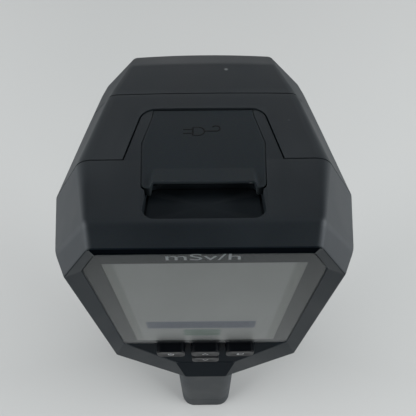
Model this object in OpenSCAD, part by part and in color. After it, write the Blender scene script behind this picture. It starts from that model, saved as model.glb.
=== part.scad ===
// Pistol-grip geiger counter: a faceted head with a tilted portrait screen and four keys,
// a pancake tube behind the nose grille, a charging port under a lift-up flap, and a grip
// that holds the cell. Millimetres, +Z up, the user looks along +Y, origin at the base.

/* [Head] */
// Height of the glass's top edge above the base
glass_top_z = 195; // [185:1:205]
// Lean of the screen from upright, in degrees
screen_tilt = 5; // [3:1:6]
// Fall of the top face towards the nose, in degrees past the screen's own tilt
top_fall = 7; // [6:1:8]
// Thickness of the housing walls
wall = 2.4; // [2:0.1:2.6]
// Rounding of the housing's long edges
edge_r = 2.2; // [1:0.2:2.6]

/* [Screen] */
// Width of the lit area
lcd_w = 48.6; // [47:0.2:49]
// Height of the lit area
lcd_h = 64.8; // [64:0.2:65]
// Depth of the glass below the rim
rim_proud = 1.5; // [1.2:0.1:2]
// Thickness of the cover glass
glass_t = 1.3; // [1:0.1:1.4]

/* [Keys] */
// Width of a key
key_w = 10; // [9:0.2:10.4]
// Height of a key
key_h = 6.9; // [6:0.1:7.1]
// How far a key stands out of the glass plane
key_proud = 3.0; // [2.4:0.1:4.2]
// Spacing of the keys across
key_pitch = 12.6; // [12.4:0.1:13.4]
// Travel of a key
key_travel = 0.8; // [0.4:0.1:0.8]

/* [Grip] */
// Width of the grip
grip_w = 28; // [27:0.5:29]
// Depth of the grip, front to back
grip_d = 40; // [39:0.5:41]
// Rake of the grip from upright, in degrees
grip_rake = 9; // [8:0.5:10]

/* [Tube] */
// Diameter of the pancake tube
tube_dia = 53; // [50:0.5:53]
// Thickness of the pancake tube
tube_t = 13; // [11:0.5:13]

/* [Hidden] */
$fn = 48;

slab_t = 0.01;      // thickness of the slabs that hulls join
seam = 0.25;        // gap between two housings
snug = 0.1;         // gap round an inner piece that sits in a pocket
free = 0.3;         // gap round a piece that moves

// Half outlines of the head, right side only, as [x, height above the glass's top edge].
rim_half = [[24.6, 5.9], [33.5, -8.6], [33.6, -82], [8.8, -123.3]];
crease_half = [[25, 9.7], [35, -3.9], [35.3, -84], [10, -126]];
seam_half = [[29, 7.5], [39.4, -8.8], [38.4, -70], [26, -86]];
mid_half = crowned([[25, 4.45], [34.7, -9.3], [34, -58], [22.4, -73.2]], 0.3);
fore_half = crowned([[20.9, 2.75], [32, -9.6], [31.4, -52], [20.6, -66]], 0.55);
nose_half = crowned([[20.3, 1.1], [30.8, -10.2], [30, -50], [19.6, -63.4]], 0.7);
panel_half = [[24.6, 0], [29.3, -8.3], [29.3, -71.8], [12, -102.5]];
glass_half = [[24.5, -0.1], [29.2, -8.4], [29.2, -71.6], [27, -71.9]];

// A slight crown on the top edge: the middle rises, by the square of the distance from the side.
function crowned(half, rise) = concat(
    [for (k = [0.15, 0.45, 0.75]) [half[0][0] * k, half[0][1] + rise * (1 - k * k)]], half);

// Depths into the body, measured from the glass plane.
rim_d = -rim_proud;
crease_d = 2.8;
seam_d = 20.9;
mid_d = 46;
fore_d = 59.7;
nose_d = 66.4;
seam_r = 5;
lens_seat = glass_t + snug;

// The tongue and the flap on the top face, measured along it from the rear crease.
tongue_back = 18.2;
tongue_front = 36.8;
tongue_root_w = 37.6;
tongue_tip_w = 31;
flap_back = 8.8;
flap_w = 28;
flap_t = 2.6;
hinge_s = 35.3;
hinge_drop = 1.1;
hinge_pin_r = 0.5;
port_s = 21.5;
scoop_back = 0.9;
scoop_w = 26.3;
scoop_deep = 3.6;

// Keys.
key_top_u = -72.6;
key_row_gap = 1.7;
key_panel_d = 0.3;
key_wall_back = 2.8;
key_places = [[-key_pitch, 0], [0, 0], [key_pitch, 0], [0, 1]];

// The nose end.
window_u = -31;
window_r = 23.5;
ring_r = 28;
tube_back = 48;

// The grip, measured along its own raked axis.
grip_r = 7;
grip_top = 128;
grip_split = 12;
base_h = 13;
cell_r = 9.2;
cell_len = 50;
cell_y = -3;
cell_z = 25.5;
trigger_z = 107;
trigger_y = 14.5;
trigger_w = 11.4;
trigger_len = 22;
trigger_pin_r = 1.5;
insert_r = 5;
thread_r = 3.2;
insert_len = 9;
lanyard_r = 1.2;
lanyard_y = 17;
lanyard_z = 4.6;

// Screw places: rear to main housing, nose cap, and the two boards, as [x, height].
boss_places = [[-29.6, -15], [29.6, -15], [-29.6, -60], [29.6, -60]];
cap_places = [[-24.5, -11], [24.5, -11], [-22.4, -51.6], [22.4, -51.6]];
cap_boss_r = 2.4;
board_places = [[-21, -14], [21, -14], [-21, -62], [21, -62]];
volt_places = [[-16.5, -20.5], [16.5, -20.5], [-16.5, -43.5], [16.5, -43.5]];
grip_screw_z = [31, 74];
base_screw_y = [-13.4, 8.6];
boss_r = 3;
screw_r = 1;
board_d = 24;
volt_d = 34;
speaker_x = 28.4;
speaker_r = 9;

// ---- frames ----

// The head's frame: X across, Y into the body from the glass plane, Z up the glass.
module head_frame() translate([0, 0, glass_top_z]) rotate([-screen_tilt, 0, 0]) children();

// The top face's frame: Y along the face from the rear crease, Z out of it.
module top_frame() head_frame() top_local() children();

module top_local()
    translate([0, crease_d, crease_half[0][1]]) rotate([-top_fall, 0, 0]) children();

// The grip's frame: Z along the raked grip.
module grip_frame() rotate([-grip_rake, 0, 0]) children();

// ---- helpers ----

function both_sides(half) =
    concat(half, [for (i = [len(half) - 1:-1:0]) [-half[i][0], half[i][1]]]);

// A thin slab of a head outline at one depth, grown by `grow` and rounded by r.
module slab(depth, half, r = edge_r, grow = 0)
    translate([0, depth + slab_t, 0]) rotate([90, 0, 0]) linear_extrude(slab_t)
        offset(r, $fn = 24) offset(delta = grow - r) polygon(both_sides(half));

// A straight block of a head outline between two depths.
module block(d0, d1, half, r = 1, grow = 0)
    translate([0, d1, 0]) rotate([90, 0, 0]) linear_extrude(d1 - d0)
        offset(r, $fn = 24) offset(delta = grow - r) polygon(both_sides(half));

// A box with rounded corners in XZ, centred at [x, z], between two depths.
module pad(x, z, w, h, d0, d1, r = 1)
    translate([x, d1, z]) rotate([90, 0, 0]) linear_extrude(d1 - d0)
        offset(r, $fn = 24) square([w - 2 * r, h - 2 * r], center = true);

// A cylinder along Y between two depths.
module rod_y(x, z, r, d0, d1) translate([x, d0, z]) rotate([-90, 0, 0]) cylinder(r = r, h = d1 - d0);

// A cylinder along X, centred.
module rod_x(y, z, r, len, $fn = 48)
    translate([-len / 2, y, z]) rotate([0, 90, 0]) cylinder(r = r, h = len);

// A pan-head screw along Y: its head at d0, its thread up to d1 on the +Y side.
module screw_y(x, z, d0, d1, r = screw_r) {
    rod_y(x, z, r, min(d0, d1), max(d0, d1));
    difference() {
        s = d1 > d0 ? -1 : 1;
        rod_y(x, z, r * 1.8, min(d0, d0 + s * r * 1.3), max(d0, d0 + s * r * 1.3));
        translate([x, d0 + s * r * 1.1, z]) rotate([90, 0, 0])
            cylinder(r = r * 0.8, h = r * 1.2, center = true, $fn = 6);
    }
}

// ---- the head's outer forms ----

module rear_form() hull() {
    slab(rim_d, rim_half);
    slab(crease_d, crease_half);
    slab(seam_d, seam_half, r = seam_r);
}

module rear_room() hull() {
    slab(crease_d + 1.4, crease_half, grow = -3.6);
    slab(seam_d + 1, seam_half, r = seam_r, grow = -wall);
}

module front_form() hull() {
    slab(seam_d + seam, seam_half, r = seam_r);
    slab(mid_d, mid_half, r = 3.4);
    slab(fore_d, fore_half);
    slab(nose_d - 1.2, nose_half);
    slab(nose_d, nose_half, grow = -1.2);
}

module front_room() hull() {
    slab(seam_d - 1, seam_half, r = seam_r, grow = -wall);
    slab(nose_d - 5, nose_half, grow = -wall);
}

// The space in front of the nose seam, which leans forward down the chamfer and then drops.
module nose_space(gap = 0) rotate([90, 0, 90]) translate([0, 0, -50]) linear_extrude(100)
    polygon([[46 + gap, 12], [46 + gap, 4.4], [52.6 + gap, -9.5], [52.6 + gap, -90], [80, -90], [80, 12]]);

// The tongue's outline on the top face.
module tongue_shape(grow = 0) offset(3, $fn = 32) offset(delta = grow - 3) polygon([
    [-tongue_root_w / 2, tongue_back - 8], [tongue_root_w / 2, tongue_back - 8],
    [tongue_root_w / 2, tongue_back], [tongue_tip_w / 2, tongue_front],
    [-tongue_tip_w / 2, tongue_front], [-tongue_root_w / 2, tongue_back]]);

// The flap's outline: wider in the middle, with its front corners cut.
module flap_shape(grow = 0) offset(1.6, $fn = 32) offset(delta = grow - 1.6) polygon([
    [-flap_w / 2 + 0.1, flap_back], [flap_w / 2 - 0.1, flap_back], [flap_w / 2 + 1, 24],
    [flap_w / 2 - 1, tongue_front - 2.5], [flap_w / 2 - 1, tongue_front - 0.15],
    [-flap_w / 2 + 1, tongue_front - 0.15],
    [-flap_w / 2 + 1, tongue_front - 2.5], [-flap_w / 2 - 1, 24]]);

// ---- housings ----

module rear_housing() color("#26292b") {
    head_frame() difference() {
        union() {
            difference() {
                rear_form();
                rear_room();
            }
            for (b = boss_places) rod_y(b[0], b[1], boss_r, 4, seam_d);
            // the block that holds the port pocket
            intersection() {
                rear_form();
                translate([-17, 3, -2]) cube([34, seam_d - 3, 14]);
            }
        }
        // recess for the glass and the key panel
        hull() {
            slab(rim_d - 0.1, rim_half, grow = -0.1);
            slab(-slab_t, panel_half, r = 1.6);
        }
        block(-1, lens_seat, glass_half, r = 1.4, grow = snug);
        pad(0, -37.6, 52.6, 68.2, -1, 6, r = 1);
        intersection() {
            block(-1, key_panel_d, panel_half, r = 1.6, grow = -0.3);
            pad(0, -90, 70, 34, -2, 2);
        }
        // room behind the key panel
        pad(0, -82.6, 38, 24, key_wall_back, 9, r = 2);
        for (k = key_places)
            pad(k[0], key_centre(k), key_w + 2 * free, key_h + 2 * free, -1, 4, r = 1.9);
        for (b = boss_places) rod_y(b[0], b[1], screw_r + 0.05, 8, seam_d + 1);
        // pocket and hinge for the flap
        flap_pocket();
    }
    tongue();
}

module flap_pocket() top_local() {
    translate([0, 0, -flap_t - free]) linear_extrude(10) flap_shape(grow = free);
    translate([0, 0, -scoop_deep]) linear_extrude(10) offset(2, $fn = 32) offset(delta = -2)
        translate([-scoop_w / 2, scoop_back]) square([scoop_w, 12]);
    translate([0, port_s, -9]) linear_extrude(10) offset(1.6, $fn = 24)
        square([6.8, 1.4], center = true);
}

module tongue() head_frame() difference() {
    top_local() {
        translate([0, 0, -5.4]) linear_extrude(5.4) intersection() {
            tongue_shape();
            translate([-30, tongue_back - 0.3]) square([60, 40]);
        }
        // posts that carry the port board
        for (x = [-7, 7]) translate([x, port_s + 3, -11.95]) cylinder(r = 1.5, h = 8);
    }
    flap_pocket();
    top_local() {
        rod_x(hinge_s, -hinge_drop, hinge_pin_r, 30);
        // the front edge is open round the flap's knuckle
        translate([-flap_w / 2 + 0.7, hinge_s - 2, -hinge_drop - 2.3]) cube([flap_w - 1.4, 4, 8]);
    }
}

module main_housing() color("#2b2e30") {
    difference() {
        union() {
            head_frame() front_form();
            grip_outer(0, grip_top);
        }
        head_frame() {
            front_room();
            nose_space(-seam);
            // keep clear of the rear housing
            hull() {
                slab(rim_d - 6, rim_half, grow = seam);
                slab(crease_d, crease_half, grow = seam);
                slab(seam_d + seam, seam_half, r = seam_r, grow = seam);
            }
            // sound slots in the right side
            for (i = [-2:2]) pad_x(30 + 3 * i, -36, 1.4, 15, 24, 50);
        }
        // cut-out for the tongue
        top_frame() translate([0, 0, -7]) linear_extrude(20) tongue_shape(grow = seam);
        grip_inner(base_h - 8, grip_top + 12);
        grip_front_cut(-seam);
        translate([-50, -60, -20]) cube([100, 120, 20 + base_h]);
    }
    head_frame() main_bosses();
    grip_frame() intersection() {
        grip_bars();
        linear_extrude(grip_top) grip_section(grow = -1);
    }
}

// Screw bosses on webs from the side walls, and the ring that holds the speaker.
module main_bosses() difference() {
    intersection() {
        block_front();
        union() {
            for (b = boss_places) {
                rod_y(b[0], b[1], boss_r, seam_d + seam, 28);
                pad(sign(b[0]) * 34.6, b[1], 8, 2.4, seam_d + seam, 28, r = 0.4);
            }
            for (b = cap_places) {
                rod_y(b[0], b[1], cap_boss_r, 34, 50.2);
                pad(sign(b[0]) * 30, b[1], 11, 2.2, 34, 50.2, r = 0.4);
            }
            translate([29.5, 30, -36]) rotate([0, 90, 0]) difference() {
                cylinder(r = speaker_r + 1.5, h = 12);
                translate([0, 0, -1]) cylinder(r = speaker_r + snug, h = 14);
            }
        }
    }
    for (b = boss_places) rod_y(b[0], b[1], screw_r + 0.1, 15, 30);
    for (b = cap_places) rod_y(b[0], b[1], screw_r + 0.05, 40, 60);
}

// The inside of the front form, up to half the thickness of its walls.
module block_front() hull() {
    slab(seam_d + seam, seam_half, r = seam_r, grow = -1);
    slab(nose_d - 5, nose_half, grow = -1);
}

// Bars across the grip that take the screws, and the web behind the trigger's switch.
module grip_bars() difference() {
    union() {
        for (z = grip_screw_z) translate([-12.6, 6.8, z - 3]) cube([25.2, 4.9, 6]);
        translate([-12.6, 5.4, 16.5]) cube([25.2, 6.3, 4.2]);
        translate([-12.6, -18.4, 16.5]) cube([25.2, 8.2, 4.2]);
        translate([-12.6, 2.3, 91.5]) cube([25.2, 1.8, 12]);
    }
    for (z = grip_screw_z) rod_y(0, z, 1.4, 0, 20);
    rotate([grip_rake, 0, 0]) for (y = base_screw_y) translate([0, y, 0]) cylinder(r = 1.35, h = 40);
}

// A slot through the right side wall, with its long side upright.
module pad_x(y, z, w, h, x0, x1) translate([x0, y, z]) rotate([90, 0, 90]) linear_extrude(x1 - x0)
    offset(w / 2 - 0.01, $fn = 16) square([0.02, h - w], center = true);

module grip_section(grow = 0) offset(grip_r, $fn = 32) offset(delta = grow - grip_r)
    translate([-grip_w / 2, -grip_d / 2]) square([grip_w, grip_d]);

module grip_outer(z0, z1) grip_frame() translate([0, 0, z0]) linear_extrude(z1 - z0) grip_section();

module grip_inner(z0, z1)
    grip_frame() translate([0, 0, z0]) linear_extrude(z1 - z0) grip_section(grow = -wall);

// What lies in front of the grip's split, up to the underside of the head.
module grip_front_cut(gap = 0) grip_frame()
    translate([-30, grip_split + gap, -20]) cube([60, 40, 20 + trigger_z + 6 - gap]);

module front_cap() color("#282b2d") head_frame() difference() {
    union() {
        difference() {
            intersection() {
                front_form();
                nose_space();
            }
            hull() {
                slab(40, seam_half, grow = -wall - 2.6);
                slab(nose_d - 2.6, nose_half, grow = -wall - 0.6);
            }
        }
        for (b = cap_places) rod_y(b[0], b[1], cap_boss_r, 52.8, nose_d - 1.5);
    }
    for (b = cap_places) {
        rod_y(b[0], b[1], screw_r + 0.1, 50, nose_d);
        rod_y(b[0], b[1], 2.2, nose_d - 2.2, nose_d + 1);
    }
    rod_y(0, window_u, window_r, nose_d - 4, nose_d + 2);
    rod_y(0, window_u, ring_r + snug, nose_d - 1.2, nose_d + 2);
    for (a = [45:90:315]) rod_y(25.6 * cos(a), window_u + 25.6 * sin(a), 0.8, nose_d - 5, nose_d);
}

module grip_cover() color("#303335") difference() {
    intersection() {
        grip_outer(0, trigger_z + 6 - seam);
        grip_frame() translate([-30, grip_split, -20]) cube([60, 40, 200]);
    }
    grip_frame() {
        translate([0, 0, -5]) linear_extrude(200) grip_section(grow = -wall);
        translate([-trigger_w / 2 - free, 0, trigger_z - trigger_len - 1.4])
            cube([trigger_w + 2 * free, 40, trigger_len + 4.6]);
        for (z = grip_screw_z) {
            rod_y(0, z, 1.45, 0, 30);
            rod_y(0, z, 2.7, grip_d / 2 - 1.6, 30);
        }
        rod_x(trigger_y, trigger_z, trigger_pin_r + 0.02, 25.8);
    }
    translate([-50, -60, -20]) cube([100, 120, 20 + base_h]);
}

module base_cap() color("#232628") difference() {
    union() {
        intersection() {
            grip_outer(-12, 30);
            hull() {
                translate([-40, -50, 1.2]) cube([80, 100, base_h - seam - 1.2]);
                translate([-grip_w / 2 + 1.2, -grip_d / 2 - 3.6, 0]) cube([grip_w - 2.4, grip_d + 4, 1]);
            }
        }
        // the spigot that enters the grip
        intersection() {
            grip_inner_solid();
            translate([-40, -50, base_h - 1]) cube([80, 100, 2.2]);
        }
    }
    cylinder(r = insert_r, h = insert_len);
    for (y = base_screw_y) {
        translate([0, y, -1]) cylinder(r = 1.4, h = 30);
        translate([0, y, -1]) cylinder(r = 2.7, h = 3);
    }
    // lanyard eye at the front corner
    translate([-3, 12.2, -1]) cube([6, 12, 9]);
    rod_x(lanyard_y, lanyard_z, lanyard_r + 0.01, 14);
}

module grip_inner_solid() grip_frame() translate([0, 0, -10]) linear_extrude(60)
    grip_section(grow = -wall - snug);

module tripod_insert() color("#b08d46") difference() {
    cylinder(r = insert_r, h = insert_len);
    translate([0, 0, -1]) cylinder(r = thread_r, h = insert_len);
}

module lanyard_bar() color("#9a9da0") rod_x(lanyard_y, lanyard_z, lanyard_r, 13.6);

// ---- port flap ----

module port_flap() color("#1f2224") top_frame() difference() {
    union() {
        difference() {
            translate([0, 0, -flap_t]) linear_extrude(flap_t) flap_shape();
            translate([-20, hinge_s, -10]) cube([40, 10, 20]);
        }
        // knuckle: its front corner is rounded so that it clears the main housing as it turns
        hull() {
            rod_x(hinge_s, -hinge_drop, hinge_drop, flap_w - 2);
            for (z = [-0.4, -1.4]) rod_x(tongue_front - 0.55, z, 0.4, flap_w - 2);
        }
        // wedge that rises to the finger lip
        rotate([90, 0, 90]) translate([0, 0, -11.2]) linear_extrude(22.4)
            polygon([[15.5, -0.5], [15.5, 0], [flap_back + 0.7, 1.9], [flap_back + 0.3, 1.75],
                [flap_back + 0.8, -1]]);
        // plug that closes the port
        translate([0, port_s, -flap_t - 1.9]) linear_extrude(3)
            offset(1, $fn = 24) square([6.8, 0.8], center = true);
    }
    rod_x(hinge_s, -hinge_drop, hinge_pin_r + 0.06, 40);
    // hollow under the finger lip
    translate([-10, flap_back - 1, -flap_t - 1]) cube([20, 3.6, 2.6]);
}

module flap_pin() color("#a8abad") top_frame() rod_x(hinge_s, -hinge_drop, hinge_pin_r, 29.6);

// ---- nose ----

module grille() color("#1b1d1e") head_frame() difference() {
    rod_y(0, window_u, window_r + 1.1, nose_d - 3.8, nose_d - 2.7);
    for (i = [-6:6], j = [-6:6])
        let (x = 3.3 * (i + (j % 2 == 0 ? 0 : 0.5)), z = 2.86 * j)
            if (x * x + z * z < 20.5 * 20.5) rod_y(x, window_u + z, 1.25, nose_d - 5, nose_d, $fn = 6);
}

module window_ring() color("#3a3d40") head_frame() difference() {
    rod_y(0, window_u, ring_r, nose_d - 1.2, nose_d + 1);
    rod_y(0, window_u, window_r - 0.5, nose_d - 3, nose_d + 3);
    for (a = [45:90:315]) {
        rod_y(25.6 * cos(a), window_u + 25.6 * sin(a), 0.9, nose_d - 3, nose_d + 3);
        rod_y(25.6 * cos(a), window_u + 25.6 * sin(a), 1.7, nose_d, nose_d + 3);
    }
}

module ring_screws() color("#8d9093") head_frame() for (a = [45:90:315])
    let (x = 25.6 * cos(a), z = window_u + 25.6 * sin(a)) {
        rod_y(x, z, 0.8, nose_d - 4, nose_d + 0.1);
        difference() {
            rod_y(x, z, 1.55, nose_d + 0.05, nose_d + 0.9);
            rod_y(x, z, 0.8, nose_d + 0.4, nose_d + 2, $fn = 6);
        }
    }

module tube_can() color("#b9bcbe") head_frame() difference() {
    rod_y(0, window_u, tube_dia / 2, tube_back, tube_back + tube_t);
    rod_y(0, window_u, tube_dia / 2 - 1, tube_back + 1, tube_back + tube_t - 1);
    rod_y(0, window_u, 22.3, tube_back + 2, tube_back + tube_t + 1);
    rod_y(0, window_u, 1.6, tube_back - 1, tube_back + 2);
}

module tube_window() color("#cfc7b0") head_frame()
    rod_y(0, window_u, 22.25, tube_back + tube_t - 0.9, tube_back + tube_t - 0.6);

module tube_pin() color("#c8b070") head_frame() {
    rod_y(0, window_u, 0.8, tube_back - 5, tube_back + 6);
    rod_y(0, window_u, 1.6, tube_back - 0.4, tube_back + 1);
}

module tube_holder() color("#3d4144") head_frame() difference() {
    union() {
        rod_y(0, window_u, tube_dia / 2 + 1.4, tube_back - 2.4, tube_back + 10);
        for (b = cap_places) pad(b[0], b[1], 7, 7, 50.3, 52.3, r = 2);
        for (b = volt_places) rod_y(b[0], b[1], 2.2, volt_d + 1.42, tube_back - 1);
    }
    rod_y(0, window_u, tube_dia / 2 + snug, tube_back, tube_back + 11);
    rod_y(0, window_u, 12, tube_back - 4, tube_back + 1);
    for (b = cap_places) rod_y(b[0], b[1], screw_r + 0.1, 45, 60);
    for (b = volt_places) rod_y(b[0], b[1], screw_r + 0.05, volt_d, tube_back - 1.4);
}

module tube_cushion() color("#55595c") head_frame() difference() {
    rod_y(0, window_u, 24.5, tube_back + tube_t + 0.02, nose_d - 3.84);
    rod_y(0, window_u, 22.8, tube_back + tube_t - 1, tube_back + tube_t + 2);
}

// ---- electronics ----

module main_board() color("#1f5a3a") head_frame() difference() {
    pad(0, -39, 52, 60, board_d, board_d + 1.6, r = 2);
    for (b = board_places) rod_y(b[0], b[1], screw_r + 0.2, 22, 28);
}

module board_chips() color("#202224") head_frame() {
    pad(-8, -30, 14, 14, 25.6, 26.9, r = 0.4);
    pad(12, -26, 9, 7, 25.6, 26.7, r = 0.4);
    pad(12, -42, 8, 8, 25.6, 26.7, r = 0.4);
    pad(-10, -50, 6, 5, 25.6, 27.1, r = 0.4);
    for (i = [0:5]) pad(-18 + 3 * i, -20, 1.6, 0.9, 25.6, 26.2, r = 0.2);
}

module board_screws() color("#9a9da0") head_frame()
{
        for (b = board_places) screw_y(b[0], b[1], board_d + 1.62, 16);
        for (b = volt_places) screw_y(b[0], b[1], volt_d - 0.02, volt_d + 5);
    }

module high_voltage_board() color("#1f5a3a") head_frame() difference() {
    pad(0, -32, 40, 30, volt_d, volt_d + 1.4, r = 1.5);
    for (b = volt_places) rod_y(b[0], b[1], screw_r + 0.2, volt_d - 1, volt_d + 3);
}

module high_voltage_transformer() color("#6b5a3c") head_frame() {
    pad(-8, -32, 11, 9, volt_d + 1.4, volt_d + 6.8, r = 0.8);
    pad(-8, -32, 7, 11.4, volt_d + 2.2, volt_d + 6, r = 0.8);
}

module high_voltage_capacitors() color("#c27a2c") head_frame()
    for (i = [0:4]) rod_y(7 + 2 * (i % 2), -42 + 4.6 * i, 1.9, volt_d + 1.4, volt_d + 3.8);

module port_board() color("#1f5a3a") top_frame() translate([-9, port_s - 6, -13.2]) cube([18, 12, 1.2]);

module port_socket() color("#b4b7ba") top_frame() difference() {
    translate([0, port_s, -12]) linear_extrude(6.4) offset(1.5, $fn = 24) square([6, 0.4], center = true);
    translate([0, port_s, -11]) linear_extrude(6.4) offset(1.2, $fn = 24) square([6, 0.4], center = true);
}

// Thin ribbons between the boards.
module port_flex() color("#b5782f") head_frame()
    pad(0, -9.75, 8, 6.4, board_d + 1.62, board_d + 1.8, r = 0.05);

module screen_flex() color("#b5782f") head_frame() pad(0, -66, 20, 0.3, 5.5, board_d - 0.02, r = 0.05);

module speaker() color("#2a2c2e") head_frame() translate([speaker_x, 30, -36]) rotate([0, 90, 0])
    difference() {
        cylinder(r = speaker_r, h = 3.4);
        translate([0, 0, 1]) cylinder(r = speaker_r - 1, h = 4);
        translate([0, 0, 0.6]) cylinder(r = 4, h = 4);
    }

module speaker_cloth() color("#3c3f42") head_frame()
    translate([speaker_x + 3.42, 30, -36]) rotate([0, 90, 0]) cylinder(r = speaker_r, h = 0.4);

// ---- screen ----

module screen_glass() color("#141617") head_frame() block(0, glass_t, glass_half, r = 1.4);

module glass_gasket() color("#101112") head_frame() difference() {
    pad(0, -37.6, 52.4, 68, glass_t + 0.02, glass_t + 0.3, r = 1);
    pad(0, -5.3 - lcd_h / 2, lcd_w + 0.6, lcd_h + 0.6, 0, 3, r = 0.4);
}

module lcd_panel() color("#7d8284") head_frame() pad(0, -37.6, 51.4, 67.4, glass_t + 0.32, 3.3, r = 0.6);

module lcd_tray() color("#cdd0d2") head_frame() difference() {
    union() {
        pad(0, -37.6, 52.2, 67.8, 2.2, 5.4, r = 0.8);
        for (b = board_places) rod_y(b[0], b[1], 2.4, 5, board_d - 0.02);
    }
    pad(0, -37.6, 51.5, 67.5, 1, 3.32, r = 0.6);
    for (b = board_places) rod_y(b[0], b[1], screw_r + 0.05, 12, board_d + 1);
}

// ---- keys ----

function key_centre(k) = key_top_u - key_h / 2 - k[1] * (key_h + key_row_gap);

// A key: its cap, which is rounded at the front, and the flange that keeps it in.
module key(k) color("#0c0d0e") head_frame() {
    c = key_centre(k);
    pad(k[0], c, key_w, key_h, -key_proud + 0.7, 3.2, r = 1.8);
    pad(k[0], c, key_w - 1.2, key_h - 1.2, -key_proud, -key_proud + 0.8, r = 1.4);
    pad(k[0], c, key_w + 1.6, key_h + 1.2, 3.1, 3.8, r = 1.8);
}

module key_mat() color("#44484b") head_frame() {
    pad(0, -82.2, 36, 20, 5, 5.7, r = 2);
    for (k = key_places) pad(k[0], key_centre(k), 6, 4, 4.7, 5.1, r = 1);
}

module key_board() color("#1f5a3a") head_frame() pad(0, -82.2, 36, 20, 6.1, 7.3, r = 2);

module key_domes() color("#c9cccd") head_frame()
    for (k = key_places) rod_y(k[0], key_centre(k), 2, 5.75, 6.1);

// ---- grip ----

// The trigger: a curved finger pad on an arm that hangs from its pin.
module trigger() color("#17191a") grip_frame() difference() {
    union() {
        rod_x(trigger_y, trigger_z, 3, trigger_w);
        translate([0, trigger_y, trigger_z]) rotate([90, 0, 90])
            translate([0, 0, -trigger_w / 2]) linear_extrude(trigger_w) polygon(concat(
                [[-2.6, 1.4], [-1.6, -trigger_len + 1], [0.4, -trigger_len], [8.6, -trigger_len + 0.6]],
                [for (a = [0:0.1:1]) [9.4 - 4.6 * sin(180 * a) * (1 - 0.25 * a),
                    -trigger_len + 1.6 + (trigger_len - 3) * a]],
                [[7, 1.2], [3, 2.6]]));
    }
    rod_x(trigger_y, trigger_z, trigger_pin_r + 0.06, 40);
}

module trigger_pin() color("#9a9da0") grip_frame() rod_x(trigger_y, trigger_z, trigger_pin_r, 25.4);

module trigger_switch() color("#1d1f20") grip_frame() {
    translate([-3, 4.12, 92]) cube([6, 5.6, 10]);
    rod_y(0, 96.5, 1, 9.6, 10.6);
}

module battery_cell() color("#2f5f8f") grip_frame()
    translate([0, cell_y, cell_z]) {
        cylinder(r = cell_r - 0.2, h = cell_len);
        cylinder(r = 3, h = cell_len + 1.2);
    }

module battery_tray() color("#34373a") grip_frame() difference() {
    translate([-cell_r - 1.6, cell_y - cell_r - 1.4, cell_z - 4.6])
        cube([2 * cell_r + 3.2, cell_r + 1.6, cell_len + 8.4]);
    translate([0, cell_y, cell_z - 4]) cylinder(r = cell_r, h = cell_len + 5.9);
}

// The spring that presses the cell: a short coil of round rings on a slope.
module contact_spring() color("#c4c7c9") grip_frame() for (i = [0:3])
    translate([0, cell_y, cell_z - 0.5 - 0.96 * i]) rotate_extrude()
        translate([2.4 + 0.5 * i, 0]) circle(r = 0.44, $fn = 8);

module contact_plate() color("#c4c7c9") grip_frame()
    translate([-5, cell_y - 5, cell_z + cell_len + 1.25]) cube([12, 10, 0.5]);

// The two leads from the cell to the plugs at the foot of the main board.
module battery_lead() color("#a02822") {
    grip_frame() {
        translate([4.5, 1.1, cell_z + cell_len + 1.77]) cylinder(r = 0.7, h = 48.4, $fn = 16);
        translate([-9.6, 1.1, 21.5]) cylinder(r = 0.7, h = 104.2, $fn = 16);
    }
    head_frame() for (x = [4.5, -9.6]) pad(x, -66.4, 5, 4, board_d + 1.62, board_d + 4.8, r = 0.4);
}

// ---- fasteners ----

module housing_screws() color("#8d9093") head_frame()
    for (b = boss_places) screw_y(b[0], b[1], 28.02, 10);

module cap_screws() color("#8d9093") head_frame()
    for (b = cap_places) screw_y(b[0], b[1], nose_d - 2.18, 42);

module grip_screws() color("#8d9093") grip_frame()
    for (z = grip_screw_z) screw_y(0, z, grip_d / 2 - 1.58, 7, r = 1.35);

module base_screws() color("#8d9093") for (y = base_screw_y) translate([0, y, 0]) difference() {
    union() {
        translate([0, 0, 0.4]) cylinder(r = 2.4, h = 1.6);
        translate([0, 0, 1.9]) cylinder(r = 1.3, h = 18);
    }
    translate([0, 0, -0.2]) cylinder(r = 1.2, h = 1.4, $fn = 6);
}

rear_housing();
main_housing();
front_cap();
grip_cover();
base_cap();
tripod_insert();
lanyard_bar();
port_flap();
flap_pin();
grille();
window_ring();
ring_screws();
tube_can();
tube_window();
tube_pin();
tube_holder();
tube_cushion();
main_board();
board_chips();
board_screws();
high_voltage_board();
high_voltage_transformer();
high_voltage_capacitors();
port_board();
port_socket();
port_flex();
screen_flex();
speaker();
speaker_cloth();
screen_glass();
glass_gasket();
lcd_panel();
lcd_tray();
key(key_places[0]);  // key_power
key(key_places[1]);  // key_up
key(key_places[2]);  // key_enter
key(key_places[3]);  // key_down
key_mat();
key_board();
key_domes();
trigger();
trigger_pin();
trigger_switch();
battery_cell();
battery_tray();
contact_spring();
contact_plate();
battery_lead();
housing_screws();
cap_screws();
grip_screws();
base_screws();
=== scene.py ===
import math

import bmesh
import bpy
import numpy as np
from mathutils import Matrix


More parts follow.
